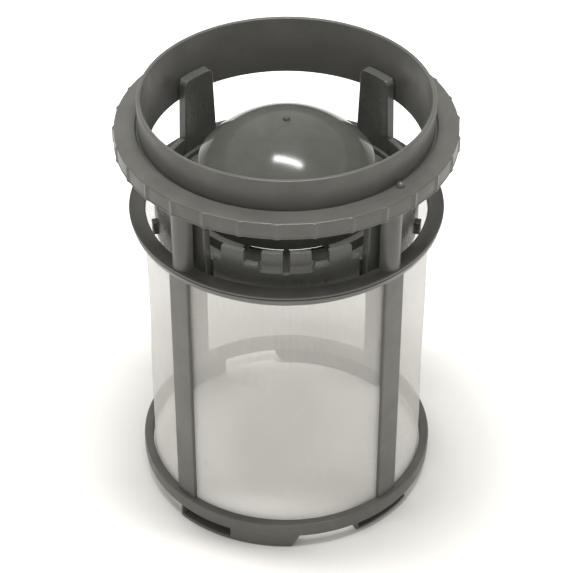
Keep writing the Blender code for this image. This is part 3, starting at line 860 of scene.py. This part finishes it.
class FILTER_OT_finger_tabs(bpy.types.Operator):
    """Shape one finger tab flat, round it to the wall and copy it to the four corners"""
    bl_idname = "filter.finger_tabs"
    bl_label = "Finger Tabs"

    def execute(self, context):
        sizes = context.scene.strainer_sizes
        foot = STRAINER_FOOT + 0.8 * MM
        inner = sizes.tab_radius - sizes.tab_thickness
        tab = flat_block("finger_tab", sizes.tab_foot_width, sizes.tab_radius, inner, foot, sizes.tab_top)
        pick_points(tab, lambda place: place.z > foot + NEAR)
        widen(sizes.tab_top_width / sizes.tab_foot_width, 1.0)
        pick_edges(tab, lambda a, b: min(a.z, b.z) > foot + NEAR and abs(a.x - b.x) < NEAR)
        bpy.ops.mesh.bevel(offset=1.5 * MM, segments=8)
        pick_edges(tab, lambda a, b: abs(a.y - b.y) < NEAR)
        bpy.ops.mesh.bevel(offset=0.28 * MM, segments=3)
        slices = evenly(sizes.tab_foot_width / 2.0, 8)
        wrap(tab, sizes.tab_radius, slices)
        soften(tab, 0.1 * MM, segments=1, angle=60.0)
        lip = flat_block("tab_lip", sizes.tab_top_width - 1.6 * MM, sizes.tab_radius + 0.5 * MM,
                         sizes.tab_radius - 1.0 * MM, sizes.tab_top - 1.9 * MM, sizes.tab_top - 0.12 * MM)
        wrap(lip, sizes.tab_radius, slices[2:-2])
        soften(lip, 0.3 * MM)
        reach = inner + 0.2 * MM
        half = reach * radians(WEB_REACH)
        web = flat_block("tab_web", 2.0 * half, reach, inner - 1.0 * MM, foot, sizes.ledge_top - 1.4 * MM)
        wrap(web, reach, evenly(half, 10))
        soften(web, 0.25 * MM, segments=2)
        tabs = turned_copies(joined([tab, lip, web], "finger_tab"), TABS, "finger_tabs")
        settle(tabs, "coarse_strainer", strainer_plastic())
        return {"FINISHED"}


class FILTER_OT_arms(bpy.types.Operator):
    """Spin the arms that run from the dome's skirt to the tabs, with wider ledges at the two front ones"""
    bl_idname = "filter.arms"
    bl_label = "Arms"

    def execute(self, context):
        sizes = context.scene.strainer_sizes
        inner = sizes.skirt_radius - 0.6 * MM
        outer = sizes.tab_radius - sizes.tab_thickness - 0.5 * MM
        bend = sizes.ledge_radius + 0.2 * MM
        arm = draw_profile("arm", [(outer, sizes.arm_top), (bend, sizes.arm_top),
                                   (sizes.ledge_radius, sizes.ledge_top), (inner, sizes.ledge_top)],
                           closed=False)
        spin_round(arm, 84, start=-LEDGE_REACH, turn=2.0 * LEDGE_REACH)
        edit()
        pick_faces(arm, lambda middle, normal: radius_of(middle) > bend
                   and abs(azimuth_of(middle)) > ARM_REACH)
        bpy.ops.mesh.delete(type="FACE")
        deselect()
        thicken(arm, sizes.arm_thickness)
        soften(arm, 0.2 * MM, segments=2, angle=50.0)
        choose(arm)
        bpy.ops.object.duplicate()
        spoke = named("spoke")
        edit()
        half = sizes.radius * sin(radians(ARM_REACH))
        for side in (-1.0, 1.0):
            select_whole()
            bpy.ops.mesh.bisect(plane_co=(side * half, 0.0, 0.0), plane_no=(side, 0.0, 0.0),
                                use_fill=True, clear_outer=True)
        deselect()
        front = turned_copies(arm, TABS[1:3], "front_arms")
        back = turned_copies(spoke, (TABS[0], TABS[3]), "back_arms")
        settle(joined([front, back], "arms"), "coarse_strainer", strainer_plastic())
        return {"FINISHED"}


class FILTER_OT_dome(bpy.types.Operator):
    """Spin the dome and its flared skirt, open the slots under it and give it thickness"""
    bl_idname = "filter.dome"
    bl_label = "Dome"

    def execute(self, context):
        sizes = context.scene.strainer_sizes
        radius = sizes.dome_radius
        rim = sizes.dome_rim
        slot_bottom = sizes.slot_top - sizes.slot_height
        rim_angle = radians(56.0)
        flatness = 0.95
        gate = 1.0 * MM
        sphere = radius / sin(rim_angle)
        centre = rim - sphere * cos(rim_angle)
        apex = rim + (centre + sphere - rim) * flatness
        points = [(gate * part, apex + height * MM) for part, height in NUB]
        first = asin(gate * 1.8 / sphere)
        steps = 40
        for step in range(steps):
            turn = first + (rim_angle - first) * step / steps
            reach = sphere * sin(turn)
            ball = (centre + sphere * cos(turn) - rim) * flatness
            bowl = (apex - rim) * (1.0 - (reach / radius) ** 2)
            points.append((reach, rim + (ball + bowl) / 2.0))
        crisp = 0.10 * MM
        lip = 0.6 * MM
        neck = radius - 0.5 * MM
        flare = sizes.skirt_radius - neck
        points += [(radius - crisp, rim + crisp), (radius, rim - crisp / 2.0), (radius, rim - lip),
                   (neck, rim - lip - crisp)]
        waist = rim - 4.2 * MM
        turns = [pi / 2.0 * step / 8.0 for step in range(9)]
        fall = 3.3 * MM
        points += [(neck + flare * (1.0 - cos(turn)), waist - fall * sin(turn)) for turn in turns]
        points += [(sizes.skirt_radius, level) for level in (sizes.slot_top, slot_bottom, STRAINER_FOOT)]
        sector = draw_profile("dome_sector", points, closed=False)
        spin_round(sector, 180, start=-45.0, turn=90.0)
        edit()
        pick_faces(sector, lambda middle, normal: slot_bottom < middle.z < sizes.slot_top
                   and SLOT_REACH[0] < abs(azimuth_of(middle)) < SLOT_REACH[1])
        bpy.ops.mesh.delete(type="FACE")
        deselect()
        dome = welded(turned_copies(sector, (0.0, 90.0, 180.0, 270.0), "dome"))
        thicken(dome, sizes.dome_wall)
        smooth(dome, 35.0)
        settle(dome, "coarse_strainer", dome_plastic())
        return {"FINISHED"}


class FILTER_OT_locating_ribs(bpy.types.Operator):
    """Shape the short ribs that centre the strainer in the lower flange"""
    bl_idname = "filter.locating_ribs"
    bl_label = "Locating Ribs"

    def execute(self, context):
        sizes = context.scene.strainer_sizes
        outer = context.scene.housing_sizes.bore - 1.2 * MM
        inner = sizes.radius - sizes.wall / 2.0
        rib = flat_block("locating_rib", sizes.rib_width, outer, inner, sizes.rib_bottom, sizes.rib_top)
        wrap(rib, sizes.radius)
        soften(rib, 0.25 * MM)
        ribs = turned_copies(rib, RIBS, "locating_ribs")
        settle(ribs, "coarse_strainer", strainer_plastic())
        return {"FINISHED"}


# Cage and mesh


class FILTER_OT_cage_rings(bpy.types.Operator):
    """Turn the base ring and the top ring of the cage"""
    bl_idname = "filter.cage_rings"
    bl_label = "Cage Rings"

    def execute(self, context):
        sizes = context.scene.cage_sizes
        soft = 0.3 * MM
        base = turned("base_ring", [
            (sizes.ring_radius, sizes.ring_top, 0.45 * MM),
            (sizes.ring_radius, sizes.ring_bottom, soft),
            (sizes.bore, sizes.ring_bottom, soft),
            (sizes.bore, sizes.ring_top, soft)])
        band = sizes.bore + 0.9 * MM
        seat = context.scene.housing_sizes.bore + 1.7 * MM
        low = sizes.top_ring_bottom
        band_foot = low - 1.6 * MM
        floor = low + 0.3 * MM
        top = turned("top_ring", [
            (sizes.top_ring_radius, sizes.top_ring_top, 0.2 * MM),
            (sizes.top_ring_radius - 0.5 * MM, low, soft),
            (band, low, 0.2 * MM),
            (band, band_foot, 0.2 * MM),
            (sizes.bore, band_foot, 0.2 * MM),
            (sizes.bore, floor, 0.0),
            (seat, floor, 0.0),
            (seat, sizes.top_ring_top, 0.15 * MM)])
        for ring in (base, top):
            smooth(ring)
            settle(ring, "mesh_cage", cage_plastic())
        return {"FINISHED"}


class FILTER_OT_bars(bpy.types.Operator):
    """Shape the four upright bars on the outside of the mesh"""
    bl_idname = "filter.bars"
    bl_label = "Bars"

    def execute(self, context):
        sizes = context.scene.cage_sizes
        bar = flat_block("bar", sizes.bar_width, sizes.bar_face, sizes.bore + 0.1 * MM,
                         sizes.ring_bottom + 1.0 * MM, sizes.top_ring_bottom + 0.3 * MM)
        pick_edges(bar, lambda a, b: abs(a.z - b.z) > NEAR and a.y < -sizes.bar_face + NEAR)
        bpy.ops.mesh.bevel(offset=0.3 * MM, segments=4)
        wrap(bar, sizes.bar_face, evenly(sizes.bar_width / 2.0, 6))
        smooth(bar, 35.0)
        bars = turned_copies(bar, BARS, "bars")
        settle(bars, "mesh_cage", cage_plastic())
        return {"FINISHED"}


class FILTER_OT_lugs(bpy.types.Operator):
    """Shape the long slotted lugs and the set-back lugs under the base ring"""
    bl_idname = "filter.lugs"
    bl_label = "Bayonet Lugs"

    def execute(self, context):
        self.shape_lugs(context, "long_lugs", LONG_LUG, LONG_SLOT, 1.0 * MM, 2.9 * MM, 0.22 * MM, bends=24,
                        slant=LUG_SLANT)
        rim = 0.7 * MM
        margin = degrees(rim / context.scene.cage_sizes.ring_radius)
        slot = (SET_BACK_LUG[0] + margin, SET_BACK_LUG[1] - margin)
        self.shape_lugs(context, "set_back_lugs", SET_BACK_LUG, slot, rim, 1.7 * MM, 0.15 * MM, bends=14,
                        setback=1.4 * MM)
        return {"FINISHED"}

    def shape_lugs(self, context, name, span, slot, sill, depth, edge, bends, setback=0.0, slant=0.0):
        """Shape a lug flat, with its slot and slanted end, and roll it and its twin behind round the ring."""
        sizes = context.scene.cage_sizes
        outer = sizes.ring_radius
        degree = outer * radians(1.0)
        start, end = (azimuth * degree for azimuth in span)
        slot_start, slot_end = (azimuth * degree for azimuth in slot)
        root = sizes.ring_bottom + 1.0 * MM
        lug = flat_block("lug", end - start, outer - setback, sizes.lug_inner, 0.0, root, (start + end) / 2.0)
        slice_across(lug, (slot_start, slot_end))
        slice_across(lug, (sill, sizes.ring_bottom), UP)
        pick_faces(lug, lambda middle, normal: normal.y < -0.9 and slot_start < middle.x < slot_end
                   and sill < middle.z < sizes.ring_bottom)
        extrude((0.0, depth, 0.0))
        for level in (0.0, sill):
            pick_points(lug, lambda place: place.x > end - NEAR and abs(place.z - level) < NEAR)
            bpy.ops.transform.translate(value=(-slant * degree * (1.0 - level / sizes.ring_bottom), 0.0, 0.0))
        bpy.ops.mesh.select_mode(type="EDGE")
        shape = bmesh.from_edit_mesh(lug.data)
        for side in shape.edges:
            side.select = side.is_manifold and side.calc_face_angle() > radians(30.0)
        bmesh.update_edit_mesh(lug.data)
        bpy.ops.mesh.bevel(offset=edge, segments=3, clamp_overlap=True)
        wrap(lug, outer, [start + 2.0 * degree * step for step in range(1, bends + 1)])
        smooth(lug, 35.0)
        settle(turned_copies(lug, (0.0, 180.0), name), "mesh_cage", cage_plastic())


class FILTER_OT_mesh_sleeve(bpy.types.Operator):
    """Spin the woven sleeve, draw it in between the bars and lay the weave on it"""
    bl_idname = "filter.mesh_sleeve"
    bl_label = "Mesh Sleeve"

    def execute(self, context):
        sizes = context.scene.cage_sizes
        rows = 60
        tall = SLEEVE_HIGH - SLEEVE_LOW
        points = [(sizes.sleeve_radius, SLEEVE_LOW + tall * row / rows) for row in range(rows + 1)]
        sleeve = draw_profile("woven_sleeve", points, closed=False)
        spin_round(sleeve, 360)
        # Drawn in most halfway between bars and rings and more at the left, with a faint ripple
        for vertex in sleeve.data.vertices:
            azimuth = radians(azimuth_of(vertex.co))
            rise = (vertex.co.z - SLEEVE_LOW) / tall
            hold = sin(pi * max(0.0, min(1.0, rise))) ** 0.8
            slack = 1.0 - 0.35 * sin(azimuth)
            drawn = sizes.sleeve_waist * slack * cos(2.0 * azimuth) ** 2 * hold
            ripple = sin(7.0 * azimuth + 9.0 * rise)
            ripple += 0.6 * sin(13.0 * azimuth - 6.0 * rise + 1.0)
            drawn += 0.17 * MM * ripple * hold
            grown = 1.0 - max(0.0, drawn) / sizes.sleeve_radius
            vertex.co.x *= grown
            vertex.co.y *= grown
        weave = sleeve.data.uv_layers.new(name="weave")
        for face in sleeve.data.polygons:
            middle = azimuth_of(face.center)
            for corner in face.loop_indices:
                place = sleeve.data.vertices[sleeve.data.loops[corner].vertex_index].co
                turn = (azimuth_of(place) - middle + 180.0) % FULL_TURN - 180.0 + middle
                weave.data[corner].uv = (radians(turn) * sizes.sleeve_radius, place.z)
        choose(sleeve)
        bpy.ops.object.shade_smooth()
        finish = context.scene.filter_finish
        settle(sleeve, "mesh_sleeve", finish_named("woven_mesh_pale", woven_mesh, finish.mesh_colour,
                                                   finish.thread_cover, sizes.thread_pitch))
        return {"FINISHED"}


# Stage


class FILTER_OT_stage(bpy.types.Operator):
    """Lay the pale floor with its painted glow, hang the soft lamps and set the camera"""
    bl_idname = "filter.stage"
    bl_label = "Stage"

    def execute(self, context):
        look = context.scene.stage_look
        deselect()
        bpy.ops.mesh.primitive_plane_add(size=6.0, location=(0.0, 1.0, -0.02 * MM))
        floor = named("floor")
        apply_place()
        material, tree, shader = node_setup("pale_floor_painted_glow")
        where = add_node(tree, "TexCoord")
        speck = noise(tree, where, 9.0, 4.0, 0.6)
        tint = add_node(tree, "Mix", data_type="RGBA", A=shaded(look.floor_colour, 0.985),
                        B=shaded(look.floor_colour))
        wire(speck, "Fac", tint, "Factor")
        wire(tint, "Result", shader, "Base Color")
        adjust(shader, Roughness=0.75, Emission_Color=(1.0, 1.0, 0.985, 1.0))
        # Painted light: the floor emits light that grows from none within 45 mm of a point beside the axis to
        # full beyond 120 mm, so it glows though it is no lamp, and the darker ring round the filter is
        # painted shade
        painted_glow_middle = (6.0 * MM, 0.0, 0.0)
        reach = add_node(tree, "VectorMath", operation="DISTANCE")
        wire(where, "Object", reach, 0)
        reach.inputs[1].default_value = painted_glow_middle
        painted_glow = add_node(tree, "MapRange", interpolation_type="SMOOTHSTEP", From_Min=45.0 * MM,
                        From_Max=120.0 * MM, To_Max=look.painted_floor_glow)
        wire(reach, "Value", painted_glow, "Value")
        wire(painted_glow, "Result", shader, "Emission Strength")
        floor.data.materials.append(material)
        # Name, power, width and height, place, turn in degrees, and whether glossy surfaces mirror it
        lamps = (
            ("key_lamp", look.key_power, (0.26, 0.05), (0.014, -0.04, 0.61), (0.0, 0.0, -15.0), True),
            ("back_lamp", look.back_power, (0.5, 0.5), (-0.45, 0.55, 0.62), (-52.8, 0.0, 39.3), False),
            ("front_lamp", look.front_power, (0.7, 0.12), (-0.35, -0.75, 0.06), (90.7, 0.0, -25.0), True))
        for name, power, size, place, turn, mirrored in lamps:
            turned_to = [radians(angle) for angle in turn]
            bpy.ops.object.light_add(type="AREA", location=place, rotation=turned_to)
            lamp = named(name)
            lamp.data.shape = "RECTANGLE"
            lamp.data.size, lamp.data.size_y = size
            lamp.data.energy = power
            lamp.visible_glossy = mirrored
        world = bpy.data.worlds.new("even_light")
        world.use_nodes = True
        adjust(world.node_tree.nodes["Background"], Color=shaded(look.sky_colour), Strength=look.sky_strength)
        context.scene.world = world
        context.scene.view_settings.view_transform = "Standard"
        pitch = look.camera_pitch
        target = Vector((0.0, 0.0, look.camera_target))
        bpy.ops.object.camera_add(
            location=target + look.camera_distance * Vector((0.0, -cos(pitch), sin(pitch))),
            rotation=(pi / 2.0 - pitch, 0.0, 0.0))
        camera = named("camera")
        camera.data.sensor_width = 36.0
        camera.data.lens = look.camera_lens
        camera.data.clip_start = 0.01
        context.scene.camera = camera
        deselect()
        return {"FINISHED"}


PIECES = (
    FILTER_OT_collar, FILTER_OT_index_pip, FILTER_OT_posts, FILTER_OT_lower_flange,
    FILTER_OT_strainer_wall, FILTER_OT_finger_tabs, FILTER_OT_arms, FILTER_OT_dome, FILTER_OT_locating_ribs,
    FILTER_OT_cage_rings, FILTER_OT_bars, FILTER_OT_lugs, FILTER_OT_mesh_sleeve, FILTER_OT_stage,
)
GROUPS = {
    "housing_sizes": HousingSizes,
    "strainer_sizes": StrainerSizes,
    "cage_sizes": CageSizes,
    "filter_finish": FilterFinish,
    "stage_look": StageLook,
}


class FILTER_PT_panel(bpy.types.Panel):
    """Lists the pieces of the filter in the order they are made"""
    bl_idname = "FILTER_PT_panel"
    bl_label = "Dishwasher Filter"
    bl_space_type = "VIEW_3D"
    bl_region_type = "UI"
    bl_category = "Filter"

    def draw(self, context):
        column = self.layout.column(align=True)
        for piece in PIECES:
            column.operator(piece.bl_idname)
        for name in GROUPS:
            box = self.layout.box()
            box.label(text=name.replace("_", " ").capitalize())
            group = getattr(context.scene, name)
            for key in group.__annotations__:
                box.prop(group, key)


def register():
    """Register the groups, the operators and the panel."""
    for group in GROUPS.values():
        bpy.utils.register_class(group)
    for name, group in GROUPS.items():
        setattr(bpy.types.Scene, name, PointerProperty(type=group))
    for piece in (*PIECES, FILTER_PT_panel):
        bpy.utils.register_class(piece)


def unregister():
    """Take everything back that register added."""
    for piece in reversed((*PIECES, FILTER_PT_panel)):
        bpy.utils.unregister_class(piece)
    for name in reversed(GROUPS):
        delattr(bpy.types.Scene, name)
    for group in reversed(GROUPS.values()):
        bpy.utils.unregister_class(group)


def main():
    """Make every piece and the stage."""
    register()
    for piece in PIECES:
        group, name = piece.bl_idname.split(".")
        getattr(getattr(bpy.ops, group), name)()


if __name__ == "__main__":
    main()
